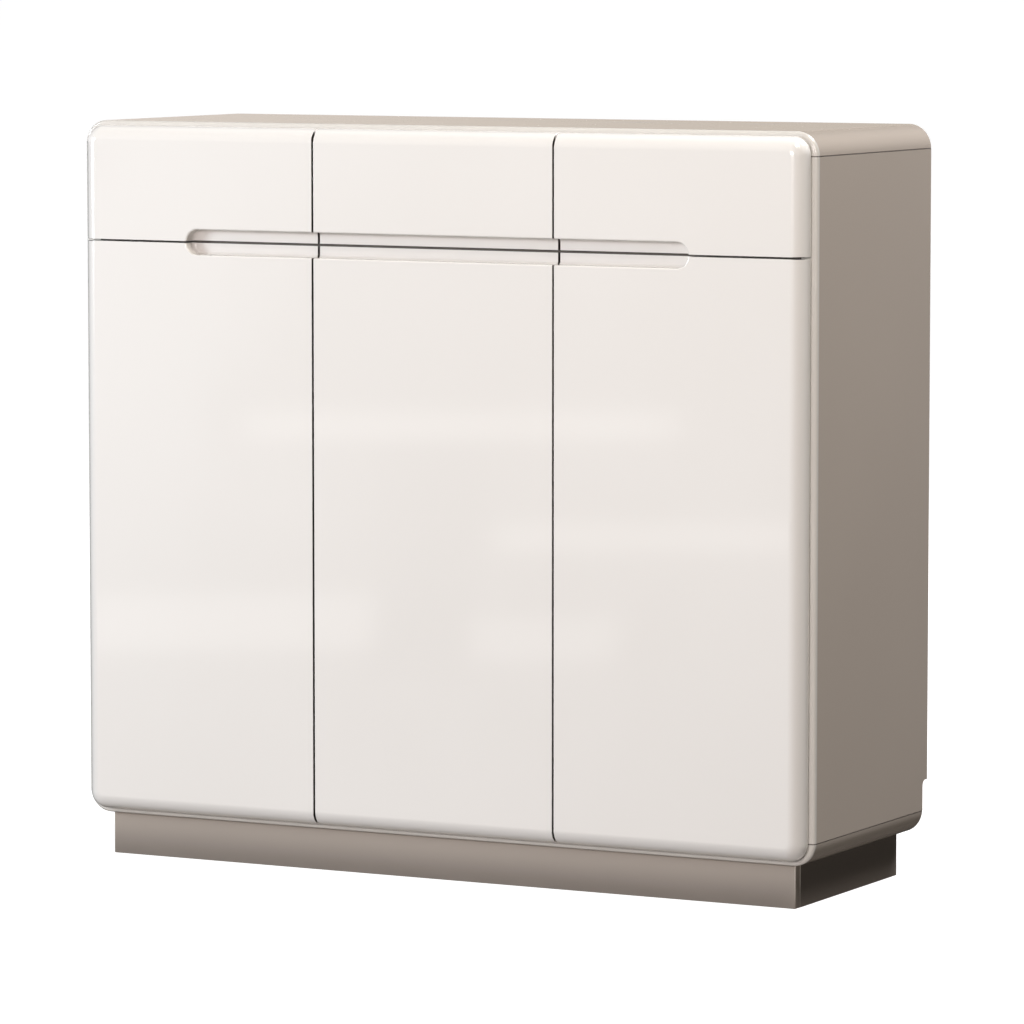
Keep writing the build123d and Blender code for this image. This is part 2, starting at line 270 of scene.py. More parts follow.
def shade_round_the_recess(sheet):
    """Painted shade: darker and warmer, strongest at the recess's rim, and more under its upper
    lip.
    """
    height = sheet.along("Z") - split_z
    half_straight = grip_half_length - grip_half_height
    past_straight = (abs(sheet.along("X")) - half_straight).maths("MAXIMUM", 0)
    reach = (past_straight * past_straight + height * height).maths("POWER", 0.5)
    inside = sheet.ramp(sheet.along("Y"), front_y + 1.5 * MM, front_y + 4 * MM)
    inside = inside * sheet.ramp(reach, grip_half_height + 1.5 * MM, grip_half_height + 0.5 * MM)
    rim = sheet.ramp(reach, grip_half_height - 10 * MM, grip_half_height - 0.5 * MM)
    upper = sheet.ramp(height, -1 * MM, 2 * MM)
    return inside * (0.02 + 0.03 * upper + (0.14 + 0.04 * upper) * rim)


# %% [markdown]
# The hairline seams of the carcass are darkened with painted shade. The plinth has painted
# shade that darkens it towards the floor, and painted highlights on its upright corner and
# in the seam behind it. Its side boards, behind the front board, are darkened with painted
# shade.


# %% Where the carcass and plinth carry painted shade and painted highlights
def shade_along_the_seams(sheet):
    """Painted shade in the seams between the boards, where they can be seen from the side."""
    height = sheet.along("Z")
    seams = sheet.near(height, top_seam_z, seam_reach)
    seams = seams + sheet.near(height, bottom_seam_z, seam_reach)
    outside = sheet.ramp(abs(sheet.along("X")), half_width - 40 * MM, half_width - 30 * MM)
    return seams * outside * (0.75 + 0.25 * sheet.noise(90, 2))


def highlight_at_the_plinth_corner(sheet):
    """Painted highlights: a pale line on the upright edge, and another in the seam behind it."""
    low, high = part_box("plinth_front")
    sideways, depth = abs(sheet.along("X")), sheet.along("Y")
    outside = sheet.ramp(sideways, high.x - plinth_round, high.x - 0.5 * plinth_round)
    edge = outside * sheet.ramp(depth, low.y + 1.2 * plinth_round, low.y + 0.8 * plinth_round)
    seam = outside * sheet.near(depth, high.y, 1.1 * MM)
    return edge * 0.6 + seam * (1 - edge)


def shade_on_the_plinth_sides(sheet):
    """Painted shade: darkens the side boards, which stand in shade behind the front board's ends.
    """
    board_back_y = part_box("plinth_front")[1].y
    return sheet.ramp(sheet.along("Y"), board_back_y + 0.8 * MM, board_back_y + 1.4 * MM)


def shade_near_the_floor(sheet):
    """Painted shade near the floor, thinning out towards 50 mm above it."""
    low = sheet.ramp(sheet.along("Z"), 50 * MM, -2 * MM)
    return low * (0.75 + 0.25 * sheet.noise(35, 4, stretch=(0.3, 1, 1)))


# %% [markdown]
# One recipe serves the four paints of the furniture: white gloss on the fronts, taupe on
# the carcass, a pale tone on its lipping and a duller taupe on the plinth. They differ in
# colour, in how much clear coat they have and in the marks they carry.

# %% The four lacquers
plinth_round = 2 * MM
seam_reach = 0.8 * MM
gap_reach = 1.75 * MM
gap_shade_starts, gap_shade_ends = (0.3 * MM, 0.9 * MM), (12 * MM, 9 * MM)
# The colours of the gaps, the recess, the seams, the plinth sides and near the floor are painted
# shade; the plinth corner's is a painted highlight.
gap_shade = (0.04, 0.035, 0.03)
recess_shade = (0.42, 0.35, 0.29)
seam_shade = (0.10, 0.085, 0.075)
plinth_side_shade = (0.15, 0.13, 0.115)
corner_highlight = (0.95, 0.90, 0.84)
floor_shade = (0.19, 0.162, 0.14)
lacquers = {  # colour, deeper colour, roughness, clear coat, marks
    "front_lacquer": (
        (0.87, 0.85, 0.83),
        (0.85, 0.828, 0.806),
        0.16,
        0.8,
        (shade_in_the_gaps, gap_shade),
        (shade_round_the_recess, recess_shade),
    ),
    "carcass_lacquer": (
        (0.535, 0.471, 0.412),
        (0.52, 0.457, 0.40),
        0.18,
        0.7,
        (shade_along_the_seams, seam_shade),
    ),
    "edge_lacquer": (
        (0.71, 0.685, 0.65),
        (0.69, 0.665, 0.63),
        0.16,
        0.8,
        (shade_along_the_seams, seam_shade),
    ),
    "plinth_lacquer": (
        (0.42, 0.368, 0.325),
        (0.40, 0.35, 0.309),
        0.30,
        0.3,
        (shade_on_the_plinth_sides, plinth_side_shade),
        (highlight_at_the_plinth_corner, corner_highlight),
        (shade_near_the_floor, floor_shade),
    ),
}
finishes = {name: lacquer(name, *recipe) for name, recipe in lacquers.items()}
print("lacquers:", ", ".join(finishes))

# %% [markdown]
# ## Boards inside
# Shelves, partitions and drawer boards are chipboard under a printed foil or melamine.
# It is matt, with a fine pearl that catches light as a speckle, so a dense small noise
# works on the bump, and a broad one hardly moves the colour. The front edges of the
# partitions and decks are painted dark brown as painted shade, which keeps the gaps between
# the fronts dark when they are shut.


# %% Boards inside, and the back
def melamine(name, colour, deeper, roughness, pearl, gap_shaded=False):
    """A matt foil. Its pearl is the number of specks in a metre."""
    sheet = Sheet(name)
    cloud = sheet.ramp(sheet.noise(4, 4), 0.3, 0.7)
    grain = sheet.noise(pearl, 2)
    foil = sheet.mix(cloud, (*deeper, 1), (*colour, 1))
    # Painted shade: the front edge is painted dark so that the shut gaps read dark.
    if gap_shaded:
        band = sheet.ramp(sheet.along("Y"), ring_y + 1.2 * MM, ring_y + 1.0 * MM)
        foil = sheet.mix(band, foil, (*gap_shade_band, 1))
    return sheet.finish(
        Base_Color=foil,
        Roughness=grain * 0.12 + (roughness - 0.06),
        Normal=sheet.bump(grain, 0.1 * MM, 0.3),
    )


# The colour of the painted shade on the front edges of the partitions and decks.
gap_shade_band = (0.11, 0.095, 0.083)
boards = {  # colour, deeper colour, roughness, pearl, painted gap shade on the front edge
    "interior_board": ((0.78, 0.76, 0.72), (0.75, 0.73, 0.69), 0.45, 900, True),
    "drawer_board": ((0.74, 0.72, 0.68), (0.70, 0.68, 0.64), 0.5, 1400),
    "back_board": ((0.70, 0.68, 0.64), (0.66, 0.64, 0.60), 0.6, 500),
}
for name, recipe in boards.items():
    finishes[name] = melamine(name, *recipe)
print("boards:", ", ".join(boards))

# %% [markdown]
# ## Metal and rubber
# Runners and hinges are pressed strip with a thin zinc plating: bright, a little cloudy,
# with rolling marks along the strip. The cams are dull castings, the bumpers soft and
# pale.


# %% Zinc plating, castings and bumpers
def plated(name, colour, roughness, marks):
    """Plated metal. Its marks are the stretch of the rolling lines along each axis."""
    sheet = Sheet(name)
    cloud = sheet.ramp(sheet.noise(20, 2), 0.3, 0.7)
    rolling = sheet.noise(1500, 1, stretch=marks)
    return sheet.finish(
        Base_Color=sheet.mix(cloud, tuple(0.94 * c for c in colour) + (1,), (*colour, 1)),
        Metallic=0.82,
        Roughness=cloud * 0.08 + rolling * 0.06 + (roughness - 0.07),
        Normal=sheet.bump(rolling, 0.04 * MM, 0.25),
    )


def rubber(name, colour):
    """A soft, slightly grainy rubber."""
    sheet = Sheet(name)
    grain = sheet.noise(700, 2)
    return sheet.finish(
        Base_Color=sheet.mix(grain, tuple(0.9 * c for c in colour) + (1,), (*colour, 1)),
        Roughness=grain * 0.15 + 0.4,
        Normal=sheet.bump(grain, 0.05 * MM, 0.3),
    )


strip_marks, no_marks = (1, 0.04, 1), (1, 1, 1)
finishes["plated_steel"] = plated("plated_steel", (0.74, 0.75, 0.76), 0.40, strip_marks)
finishes["cast_zinc"] = plated("cast_zinc", (0.52, 0.52, 0.53), 0.42, no_marks)
finishes["soft_rubber"] = rubber("soft_rubber", (0.62, 0.62, 0.60))
print("finishes:", ", ".join(sorted(finishes)))

# %% [markdown]
# ## Dressing the frame
# Every board that keeps its frame mesh takes the finish of its slot in the record.

# %% One finish for each node of the frame
for part in frame["record"]["subparts"]:
    node = frame["nodes"][part["node"]]
    node.data.materials.clear()
    node.data.materials.append(finishes[part["material_slot"]])
slot_of = {part["node"]: part["material_slot"] for part in frame["record"]["subparts"]}
print("dressed", len(slot_of), "nodes")

# %% [markdown]
# ## Skinning a form over rings
# All the curved pieces here are an outline that shrinks as it nears a face. So each is
# lofted: rings of equal point counts, joined by quads and closed by one flat face at each
# end. The quads follow the curve, so the lacquer's highlights run true along it.


# %% Make a piece, and loft one
def make_piece(name, form):
    """Turn a form of points and faces into a piece in the scene."""
    mesh = bpy.data.meshes.new(name)
    form.to_mesh(mesh)
    form.free()
    piece = bpy.data.objects.new(name, mesh)
    bpy.context.scene.collection.objects.link(piece)
    return piece


def ring_at(y, pairs):
    """A ring of points at one depth, from pairs of x and z."""
    return [Vector((x, y, z)) for x, z in pairs]


def quarter(steps):
    """Angles from 0 to a right angle."""
    return [math.pi / 2 * k / steps for k in range(steps + 1)]


def full_turn(sides):
    """Angles all the way round, one for each side."""
    return [2 * math.pi * k / sides for k in range(sides)]


def round_ring(reach, z, sides):
    """A level ring of points round the upright axis."""
    ways = full_turn(sides)
    return [Vector((reach * math.cos(way), reach * math.sin(way), z)) for way in ways]


def loft(name, rings, close_end=True):
    """Skin a form over rings of points, with a face across each end."""
    form = bmesh.new()
    rows = [[form.verts.new(point) for point in ring] for ring in rings]
    for low, high in zip(rows, rows[1:]):
        for k in range(len(low)):
            form.faces.new((low[k - 1], low[k], high[k], high[k - 1]))
    form.faces.new(rows[0])
    if close_end:
        form.faces.new(rows[-1])
    bmesh.ops.recalc_face_normals(form, faces=form.faces)
    return make_piece(name, form)


def rounded_rings(outline, front, radius, back, steps):
    """Rings of an outline that shrinks round a quarter circle towards its front."""
    rings = [ring_at(back, outline(0))]
    for angle in quarter(steps):
        inset = radius * (1 - math.cos(angle))
        y = front + radius * (1 - math.sin(angle))
        rings.append(ring_at(y, outline(inset)))
    return rings


# %% [markdown]
# A form is then worked as a board would be: bored or grooved with another form, its sharp
# edges broken, and its flat faces kept flat beside the curves.


# %% Carve, soften and shade
sharp_deg = 32


def settle(piece):
    """Turn a piece's modifiers into its mesh."""
    graph = bpy.context.evaluated_depsgraph_get()
    mesh = bpy.data.meshes.new_from_object(piece.evaluated_get(graph))
    piece.modifiers.clear()
    piece.data = mesh


def carve(piece, tool, keep_tool=False):
    """Cut one piece's form out of another."""
    cut = piece.modifiers.new("cut", "BOOLEAN")
    cut.operation = "DIFFERENCE"
    cut.solver = "EXACT"
    cut.object = tool
    settle(piece)
    if not keep_tool:
        bpy.data.objects.remove(tool)


def soften(piece, width):
    """Break every sharp edge by a small round, and shade the rest smooth."""
    arris = piece.modifiers.new("arris", "BEVEL")
    arris.width = width
    arris.segments = 3
    arris.limit_method = "ANGLE"
    arris.angle_limit = math.radians(sharp_deg)
    settle(piece)
    shade(piece)


def shade(piece):
    """Smooth curves and flat faces, both with true normals."""
    for face in piece.data.polygons:
        face.use_smooth = True
    piece.data.set_sharp_from_angle(angle=math.radians(sharp_deg))
    even = piece.modifiers.new("even", "WEIGHTED_NORMAL")
    even.keep_sharp = True
    even.weight = 100


# %% [markdown]
# A finished piece stands for one node of the frame: it rides on the same body, takes the
# same finish, and hides the coarse one.


# %% Take a node's place
def take_over(piece, node, body):
    """Let a finished piece stand for its frame node, in the same finish."""
    finish_slot = slot_of[node]
    piece.data.materials.clear()
    piece.data.materials.append(finishes[finish_slot])
    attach(piece, body)
    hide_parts(node)


# %% [markdown]
# ## The six fronts
# On the real furniture the doors and drawer fronts are cut so that their outer edges make
# one soft pillow with round corners. So one slab is lofted whole, with that pillow and
# the corners, then cut at the gaps, exactly as the edge must line up from front to front.


# %% The slab that all six fronts are cut from
def fronts_outline(inset):
    """The rounded rectangle of the fronts, shrunk by an inset, as x and z pairs."""
    radius = corner_radius - inset
    centre_x = fronts_edge_x - corner_radius
    middle_z = (fronts_low_z + fronts_high_z) / 2
    centre_z = (fronts_high_z - fronts_low_z) / 2 - corner_radius
    points = []
    for turn, (side, up) in enumerate(((1, 1), (-1, 1), (-1, -1), (1, -1))):
        for angle in quarter(16):
            way = angle + turn * math.pi / 2
            x = side * centre_x + radius * math.cos(way)
            points.append((x, middle_z + up * centre_z + radius * math.sin(way)))
    return points


slab = loft("slab", rounded_rings(fronts_outline, front_y, pillow_radius, fronts_back_y, 18))
print("slab:", len(slab.data.vertices), "points")


# %% [markdown]
# The doors and drawers have no handles. Half of one long recess is milled into the upper
# edge of the doors and half into the lower edge of the drawers, with a round end at each
# side, so fingers find either one. The rim is rounded for the hand and the paint.

# %% The finger recess that runs across them
def grip_outline(inset):
    """The long round-ended outline of the recess, shrunk by an inset."""
    radius = grip_half_height - inset
    centre_x = grip_half_length - grip_half_height
    end_steps = 32
    points = []
    for side in (1, -1):
        for k in range(end_steps + 1):
            way = side * (math.pi * k / end_steps - math.pi / 2)
            x = side * (centre_x + radius * math.cos(way))
            points.append((x, split_z + radius * math.sin(way)))
    return points


def recess_tool():
    """The form of the cutter's path: flared at the rim, filleted at the floor."""
    floor_y = front_y + grip_depth
    clear_y = front_y - 2 * MM
    rings = [ring_at(clear_y, grip_outline(-grip_rim_round))]
    for angle in quarter(5):
        inset = grip_rim_round * (math.sin(angle) - 1)
        y = front_y + grip_rim_round * (1 - math.cos(angle))
        rings.append(ring_at(y, grip_outline(inset)))
    for angle in quarter(8):
        inset = grip_fillet * (1 - math.cos(angle))
        y = floor_y - grip_fillet * (1 - math.sin(angle))
        rings.append(ring_at(y, grip_outline(inset)))
    return loft("recess_tool", rings)


recess = recess_tool()
print("recess:", round(2 * grip_half_length, 4), "m long")

# %% [markdown]
# A front is the slab cut back to its own box by flat planes. Each cut is closed with a new
# face, the recess is carved, and every cut edge gets the fine arris that real lacquered
# edges have: a sharp one would chip and would hold no paint.


# %% Cutting one front from the slab
def cut_front(name, node):
    """The part of the slab inside one front's box, with its share of the recess."""
    low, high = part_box(node)
    form = bmesh.new()
    form.from_mesh(slab.data)
    cuts = (
        (low.x, (-1, 0, 0), low.x > -fronts_edge_x + MM),
        (high.x, (1, 0, 0), high.x < fronts_edge_x - MM),
        (low.z, (0, 0, -1), low.z > fronts_low_z + MM),
        (high.z, (0, 0, 1), high.z < fronts_high_z - MM),
    )
    for place, outward, needed in cuts:
        if needed:
            everything = form.verts[:] + form.edges[:] + form.faces[:]
            point = Vector((place, 0, 0)) if outward[0] else Vector((0, 0, place))
            bmesh.ops.bisect_plane(
                form, geom=everything, plane_co=point, plane_no=outward, clear_outer=True
            )
            rim = [edge for edge in form.edges if edge.is_boundary]
            bmesh.ops.contextual_create(form, geom=rim)
    bmesh.ops.recalc_face_normals(form, faces=form.faces)
    piece = make_piece(name, form)
    carve(piece, recess, keep_tool=True)
    return piece


def bore_tool(cups, height):
    """A short round bar that fits one hinge cup's pocket in a door."""
    low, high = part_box(cups)
    middle_x = (low.x + high.x) / 2
    circle = []
    for angle in full_turn(48):
        x = middle_x + cup_radius * math.cos(angle)
        circle.append((x, height + cup_radius * math.sin(angle)))
    depths = (fronts_back_y + MM, fronts_back_y - cup_depth)
    return loft("bore_tool", [ring_at(y, circle) for y in depths])


# %% [markdown]
# Each door is bored from behind for two hinge cups. The bores are placed from the cups in
# the frame, whose flanges reach equally far above and below them.

# %% The doors, with the pockets for their hinge cups, and the drawer fronts
flange_half = 27 * MM
for bay in BAYS:
    door = cut_front(f"gloss_door_{bay}", f"door_{bay}")
    low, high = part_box(f"hinge_cups_{bay}")
    for height in (low.z + flange_half, high.z - flange_half):
        carve(door, bore_tool(f"hinge_cups_{bay}", height))
    drawer_front = cut_front(f"gloss_drawer_front_{bay}", f"drawer_front_{bay}")
    for piece, node, body in (
        (door, f"door_{bay}", f"door_{bay}"),
        (drawer_front, f"drawer_front_{bay}", f"drawer_{bay}"),
    ):
        soften(piece, front_arris)
        take_over(piece, node, body)
        print(piece.name, len(piece.data.polygons), "faces")
for tool in (slab, recess):
    bpy.data.objects.remove(tool)

# %% [markdown]
# ## Top board, bottom board and their lippings
# The carcass's corners are rolled: the ends of the top and bottom boards are rounded over
# to meet the side panels in a fine seam. A pale lipping with a small round covers their
# front edges. Board and lipping are the same outline, so one function draws both.


# %% The outline of a rolled board
def rolled_outline(seam, outer):
    """An outline function for a board whose ends roll over at its outer height."""
    up = 1 if outer > seam else -1

    def outline(inset):
        edge = half_width - inset
        radius = roll_radius - inset
        centre_z = outer - up * (inset + radius)
        right = [
            (edge - radius + radius * math.cos(angle), centre_z + up * radius * math.sin(angle))
            for angle in quarter(20)
        ]
        right = [(edge - seam_arris, seam), (edge, seam + up * seam_arris)] + right[1:]
        return right + [(-x, z) for x, z in reversed(right)]

    return outline


def straight_rings(outline, front, back, arris):
    """Rings of a board with a fine arris at its rear edge."""
    stations = ((front, 0), (back - arris, 0), (back, arris))
    return [ring_at(y, outline(inset)) for y, inset in stations]


# %% [markdown]
# The back panels slide into a groove that runs through both boards and between the sides.
# It is cut from each board as one slot, a little wider and deeper than the panels.

# %% Both boards and both lippings
rear_arris = 0.8 * MM
groove_low, groove_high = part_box("back_middle")
groove_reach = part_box("back_right")[1].x + 0.5 * MM


def groove_tool():
    """The slot in both boards and between the sides that the back panels stand in."""
    low = (-groove_reach, groove_low.y - 0.1 * MM, groove_low.z - 0.5 * MM)
    high = (groove_reach, groove_high.y + 0.1 * MM, groove_high.z + 0.5 * MM)
    corners = ((low[0], low[2]), (high[0], low[2]), (high[0], high[2]), (low[0], high[2]))
    return loft("groove_tool", [ring_at(y, corners) for y in (low[1], high[1])])


for name, seam, outer, back in (
    ("top", top_seam_z, top_z, rear_y),
    ("bottom", bottom_seam_z, bottom_z, bottom_rear_y),
):
    outline = rolled_outline(seam, outer)
    board = loft(f"rolled_{name}_board", straight_rings(outline, board_y, back, rear_arris))
    carve(board, groove_tool())
    shade(board)
    take_over(board, f"{name}_board", "carcass")
    rings = rounded_rings(outline, ring_y, lipping_round, board_y, 8)
    lipping = loft(f"round_lipping_{name}", rings)
    shade(lipping)
    take_over(lipping, f"lipping_{name}", "carcass")
    print(board.name, "and", lipping.name, "made")


# %% [markdown]
# The same pale lipping covers the front edge of each side panel. It stops square at the
# seams above and below, with its edges just eased so that the joint reads as a fine line.

# %% The lippings of the side panels
def side_outline(way):
    """An outline function for a side panel's front edge, way -1 on the left."""

    def outline(inset):
        edge = half_width - inset
        a = seam_arris
        right = [
            (side_inner_x, bottom_seam_z),
            (edge - a, bottom_seam_z),
            (edge, bottom_seam_z + a),
            (edge, top_seam_z - a),
            (edge - a, top_seam_z),
            (side_inner_x, top_seam_z),
        ]
        return [(way * x, z) for x, z in right]

    return outline


for name, way in (("left", -1), ("right", 1)):
    rings = rounded_rings(side_outline(way), ring_y, lipping_round, board_y, 8)
    lipping = loft(f"round_lipping_{name}", rings)
    shade(lipping)
    take_over(lipping, f"lipping_{name}", "carcass")
    print(lipping.name, "made")

# %% [markdown]
# ## The plinth's front board
# It runs the full width, and the side boards butt against its back, so its end grain face
# shows at the corner as an upright band with a fine seam behind it. The two front edges
# have a small round, drawn here as an outline lofted upwards.


# %% The full-width board
def plinth_outline(inset):
    """The board from above, round at its front edges and eased at its rear ones."""
    low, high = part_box("plinth_front")
    edge = high.x - inset
    front = low.y + inset
    round_centre = front + plinth_round
    right = [(edge - seam_arris, high.y), (edge, high.y - seam_arris)]
    for angle in quarter(6):
        x = edge - plinth_round + plinth_round * math.cos(angle)
        right.append((x, round_centre - plinth_round * math.sin(angle)))
    return right + [(-x, y) for x, y in reversed(right)]


foot_arris = 0.6 * MM
plinth_top_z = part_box("plinth_front")[1].z
stations = ((0, foot_arris), (foot_arris, 0), (plinth_top_z, 0))
rings = [[Vector((x, y, z)) for x, y in plinth_outline(inset)] for z, inset in stations]
plinth_front = loft("plinth_front_board", rings)
shade(plinth_front)
take_over(plinth_front, "plinth_front", "carcass")
print(plinth_front.name, "made")

# %% [markdown]
# ## Screws in the hinges
# Every hinge cup hangs on two screws in its flange, every mounting plate on two more, and
# two small ones in the arm adjust the door. A head is a low dome with a cross pressed in
# it. One head is drawn and copied, each turned a little differently, as a fitter leaves them.


# %% One head, and a set of them as one piece
def cross_head(radius, height):
    """A domed screw head that faces upwards, its foot just under the origin."""
    profile = ((1, -0.4), (1, 0.35), (0.9, 0.65), (0.7, 0.85), (0.45, 0.97), (0.2, 1))
    rings = [round_ring(radius * reach, height * up, 28) for reach, up in profile]
    head = loft("cross_head", rings)
    corners = ((-1, -1), (1, -1), (1, 1), (-1, 1))
    for long, wide in ((0.62, 0.14), (0.14, 0.62)):
        rings = []
        for up, flare in ((0.2, 0.7), (1.3, 1.1)):
            x, y = radius * long * flare, radius * wide * flare
            rings.append([Vector((a * x, b * y, height * up)) for a, b in corners])
        carve(head, loft("cross_bar", rings))
    return head


def screw_set(name, body, head, places, facing):
    """Copies of one head at several places on a body, all facing the same way."""
    form = bmesh.new()
    face_out = Vector(facing).to_track_quat("Z", "Y").to_matrix().to_4x4()
    for count, place in enumerate(places):
        driven = Matrix.Rotation(math.radians(next_turn_deg * count), 4, "Z")
        turned = Matrix.Translation(place) @ face_out @ driven
        before = len(form.verts)
        form.from_mesh(head.data)
        form.verts.ensure_lookup_table()
        bmesh.ops.transform(form, matrix=turned, verts=form.verts[before:])
    piece = make_piece(name, form)
    shade(piece)
    piece.data.materials.append(finishes["plated_steel"])
    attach(piece, body)
    print(name, len(places), "screws")


# %% [markdown]
# The heads sit on the flanges and plates of the frame's hinges. Cup screws ride on their
# door, the others stay on the carcass.

# %% The screws of the six hinges
next_turn_deg = 41
screw_head = cross_head(radius=3.2 * MM, height=1.3 * MM)
small_head = cross_head(radius=2.5 * MM, height=1.0 * MM)
screw_apart = 22 * MM
plate_screw_apart = 17 * MM
plate_half_height = 25 * MM
plate_stands = 2.5 * MM
arm_stands = 14 * MM
plate_middle_y = ring_y + 38.5 * MM
adjuster_ys = (ring_y + 24 * MM, ring_y + 46 * MM)
for bay in BAYS:
    low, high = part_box(f"hinge_cups_{bay}")
    heights = (low.z + flange_half, high.z - flange_half)
    middle_x = (low.x + high.x) / 2
    pairs = [z + way * screw_apart for z in heights for way in (-1, 1)]
    places = [Vector((middle_x, high.y, z)) for z in pairs]
    screw_set(f"cup_screws_{bay}", f"door_{bay}", screw_head, places, (0, 1, 0))
    low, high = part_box(f"hinge_mounts_{bay}")
    heights = (low.z + plate_half_height, high.z - plate_half_height)
    way_in = -1 if bay == "right" else 1
    wall = high.x if bay == "right" else low.x
    face_x = wall + way_in * plate_stands
    pairs = [z + way * plate_screw_apart for z in heights for way in (-1, 1)]
    places = [Vector((face_x, plate_middle_y, z)) for z in pairs]
    screw_set(f"plate_screws_{bay}", "carcass", screw_head, places, (way_in, 0, 0))
    places = [Vector((wall + way_in * arm_stands, y, z)) for z in heights for y in adjuster_ys]
    screw_set(f"adjusting_screws_{bay}", "carcass", small_head, places, (way_in, 0, 0))
for head in (screw_head, small_head):
    bpy.data.objects.remove(head)

# %% [markdown]
# ## A pale floor that sweeps up
# A studio floor for white furniture is a roll of pale paper that sweeps up behind it, lit
# until it is nearly white. Here it is one shallow bowl, so every side view has it too. Only
# the camera sees it: white paper all round would flood the shaded side with light.


# %% The floor
def floor_finish():
    """Pale paper, lit evenly enough to hide where it ends."""
    sheet = Sheet("pale_floor")
    speck = sheet.noise(60, 3)
    return sheet.finish(
        Base_Color=sheet.mix(speck, (0.22, 0.219, 0.217, 1), (0.24, 0.239, 0.237, 1)),
        Roughness=speck * 0.1 + 0.6,
        Emission_Color=sheet.mix(speck, (0.985, 0.985, 0.985, 1), (0.995, 0.995, 0.995, 1)),
        Emission_Strength=1.0,
    )


def bowl_rings(floor_radius, sweep_radius, sides):
    """Rings from the middle of the floor outwards, then up the sweep."""
    stations = [(0.5, 0), (floor_radius, 0)]
    for angle in quarter(12)[1:]:
        reach = floor_radius + sweep_radius * math.sin(angle)
        stations.append((reach, sweep_radius * (1 - math.cos(angle))))
    return [round_ring(reach, z, sides) for reach, z in stations]


floor = loft("floor", bowl_rings(floor_radius=25, sweep_radius=20, sides=96), close_end=False)
shade(floor)
floor.data.materials.append(floor_finish())
floor.visible_diffuse = False
floor.visible_glossy = False
floor.visible_transmission = False
floor.visible_shadow = False
print("floor:", round(max(v.co.x for v in floor.data.vertices)), "m to its edge")

# %% [markdown]
# ## Soft boxes
# White lacquer only reads as a form if its faces differ in light. A broad box in front
# lights the fronts evenly. Two boxes high over the right side light the top fully and the
# side only by a graze, and keep out of the space below the overhang, so the plinth's side
# falls into shade. A cool one on the left lights the roundovers there, and a very small one
# on the right puts a glint on the top corner. The one behind is there for the back panels.


# %% The lights
def soft_box(name, place, target, size, power, colour):
    """A broad rectangular light that faces a point."""
    light = bpy.data.lights.new(name, "AREA")
    light.shape = "RECTANGLE"
    light.size, light.size_y = size
    light.energy = power
    light.color = colour
    lamp = bpy.data.objects.new(name, light)
    bpy.context.scene.collection.objects.link(lamp)
    lamp.location = place
    lamp.rotation_euler = (Vector(target) - Vector(place)).to_track_quat("-Z", "Y").to_euler()
    return lamp


lamps = {  # place, target, size, power, colour
    "front_box": ((0.2, -6.5, 1.8), (0, 0, 0.6), (2.0, 1.4), 185, (1, 0.915, 0.888)),
    "left_box": ((-4.0, -3.0, 1.5), (-0.6, 0, 0.7), (1.5, 1.5), 144, (0.87, 0.95, 1)),
    "side_box": ((2.1, -1.6, 4.4), (0.5, 0, 0.8), (1.5, 1.5), 116, (1, 0.95, 0.86)),
    "rear_box": ((2.0, 2.2, 4.4), (0.5, 0, 0.8), (1.5, 1.5), 226, (0.955, 0.955, 1)),
    "edge_strip": ((2.4, -2.4, 1.18), (0.59, -0.2, 1.06), (0.2, 0.24), 0.02, (1, 0.96, 0.92)),
    "back_fill": ((-1.5, 5.5, 1.6), (0, 0, 0.6), (3, 2), 110, (1, 1, 1)),
}
boxes = {name: soft_box(name, *settings) for name, settings in lamps.items()}
boxes["edge_strip"].data.spread = math.radians(30)
boxes["back_fill"].visible_glossy = False
print("lights:", ", ".join(boxes))

# %% [markdown]
# ## What the lacquer mirrors
# At a shallow angle gloss paint is nearly a mirror, so the dim room matters as much as the
# lamps. The world has a grey band along the horizon behind, to the left and ahead on the
# right, and a glow from the floor that lifts the undersides of the round edges.


# %% The room
class Room(Sheet):
    """The node tree of the world around the furniture."""

    def __init__(self, name):
        self.world = bpy.data.worlds.new(name)
        self.world.use_nodes = True
        self.tree = self.world.node_tree
        self.tree.nodes.clear()

    def way(self, axis):
        """How far the direction looked in points along an axis, from -1 to 1."""
        direction = self.node("ShaderNodeTexCoord", output="Generated")
        return self.node("ShaderNodeSeparateXYZ", None, {"Vector": direction}, output=axis)

    def between(self, value, low, high, soft):
        """1 between two values, with soft ends."""
        above = self.ramp(value, low - soft, low + soft)
        return above * self.ramp(value, high + soft, high - soft)

    def add_glow(self, glow, mask, colour):
        """More light where a mask is 1."""
        return self.mix(mask, glow, (*colour, 1), blend="ADD")

    def open_to(self, glow):
        """End the room in a world that gives off this glow."""
        backdrop = self.node("ShaderNodeBackground", None, {"Color": glow, "Strength": 1.0})
        end = self.tree.nodes.new("ShaderNodeOutputWorld")
        self.tree.links.new(backdrop.socket, end.inputs["Surface"])
        return self.world


# %% [markdown]
# Low in front, where the doors mirror the studio, a few soft patches of light and one dark
# upright shape stand for the room. Without them gloss paint looks like plain plastic. Each
# patch is a span of directions, given by the x and z they point along.

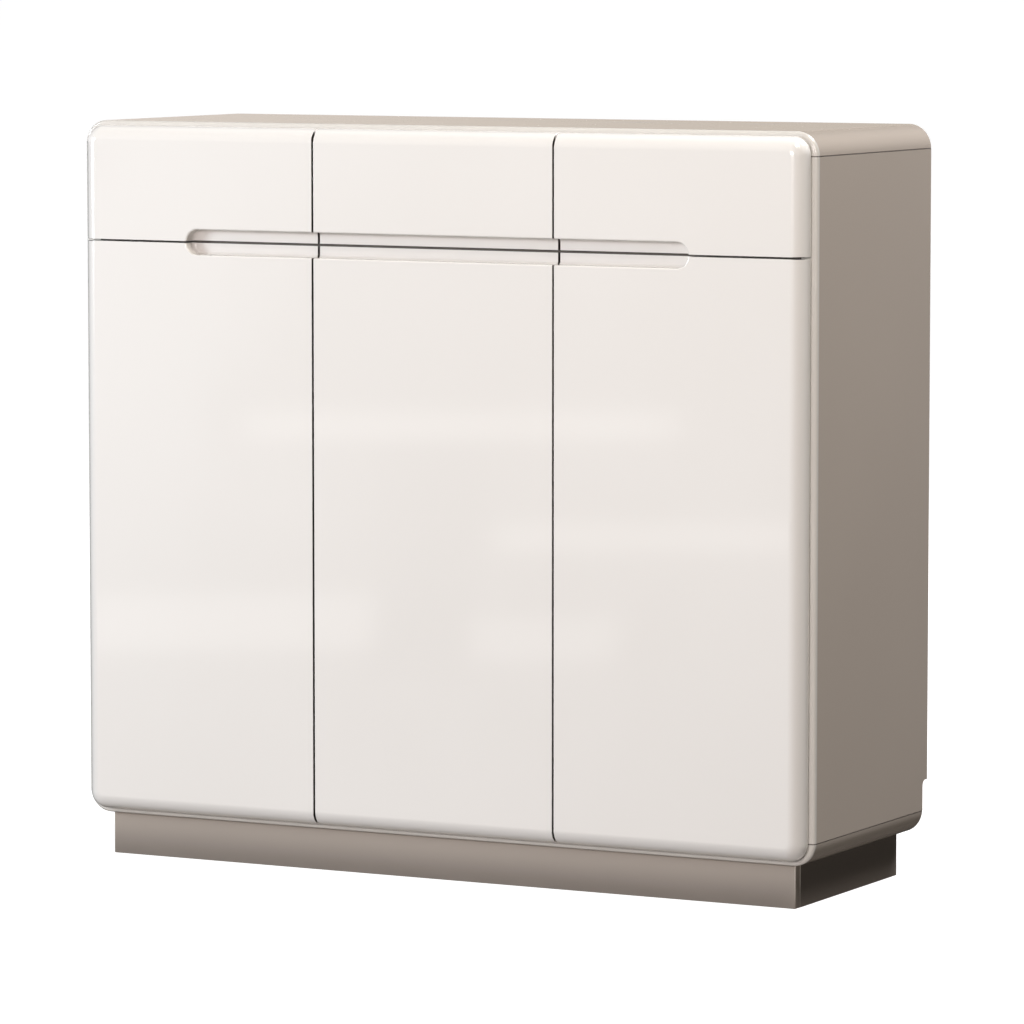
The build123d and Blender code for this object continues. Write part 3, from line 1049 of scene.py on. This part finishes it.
# %% The patches, and the whole room
door_patches = (  # left, right, low, high, softness, brightness
    (-0.70, -0.20, -0.20, -0.02, 0.020, 0.32),
    (-0.505, -0.440, -0.0833, -0.0785, 0.0009, 1.5),
    (-0.600, -0.484, -0.1187, -0.1092, 0.0009, 1.4),
    (-0.4675, -0.400, -0.1022, -0.0972, 0.0009, 1.4),
    (-0.4707, -0.448, -0.1205, -0.1132, 0.0009, 1.2),
)
dark_shape = (-0.4845, -0.4700, -0.1240, -0.0842, 0.0010)
dim_room = (0.025, 0.024, 0.023)
wall_behind = (0.38, 0.33, 0.27)
wall_left = (0.70, 0.65, 0.65)
lit_floor = (0.54, 0.50, 0.46)
wall_ahead = (0.48, 0.43, 0.385)


def studio_room():
    """A dim room: glows on the horizon and below, and the patches in front."""
    room = Room("studio")
    across, back, up = room.way("X"), room.way("Y"), room.way("Z")
    horizon = room.ramp(up, -0.03, 0.03) * room.ramp(up, 0.45, 0.15)
    behind_left = room.ramp(back, 0.5, 0.8) * room.ramp(across, 0, -0.3)
    glow = room.add_glow((*dim_room, 1), horizon * behind_left, wall_behind)
    glow = room.add_glow(glow, horizon * room.ramp(across, -0.3, -0.8), wall_left)
    from_floor = room.ramp(up, -0.45, -0.7) * room.ramp(across, -0.6, 0.2)
    glow = room.add_glow(glow, from_floor, lit_floor)
    ahead_right = horizon * room.ramp(across, 0.3, 0.6) * room.ramp(back, 0, -0.2)
    glow = room.add_glow(glow, ahead_right, wall_ahead)
    in_front = room.ramp(back, -0.6, -0.75)
    left, right, low, high, soft = dark_shape
    lit = 1 - 0.8 * (room.between(across, left, right, soft) * room.between(up, low, high, soft))
    for left, right, low, high, soft, bright in door_patches:
        patch = room.between(across, left, right, 2 * soft) * room.between(up, low, high, soft)
        glow = room.add_glow(glow, patch * in_front * lit, (bright, 0.98 * bright, 0.95 * bright))
    return room.open_to(glow)


bpy.context.scene.world = studio_room()
print("world:", bpy.context.scene.world.name, "with", len(door_patches), "patches")

# %% [markdown]
# ## The camera
# A long lens from the right, a little above the top board, keeps the upright edges nearly
# parallel, as furniture is usually shown.

# %% The camera
camera_place = (4.0684, -7.6630, 1.3575)
camera_turn_deg = 27.84
camera_tilt_deg = 5.48
camera_data = bpy.data.cameras.new("camera")
camera_data.lens = 207.43
camera_data.sensor_width = 36
camera_data.clip_end = 200
camera = bpy.data.objects.new("camera", camera_data)
camera.location = camera_place
camera.rotation_euler = (math.radians(90 - camera_tilt_deg), 0, math.radians(camera_turn_deg))
bpy.context.scene.collection.objects.link(camera)
bpy.context.scene.camera = camera
bpy.context.scene.view_settings.view_transform = "Standard"
print("camera:", camera_place, "with a lens of", camera_data.lens, "mm")
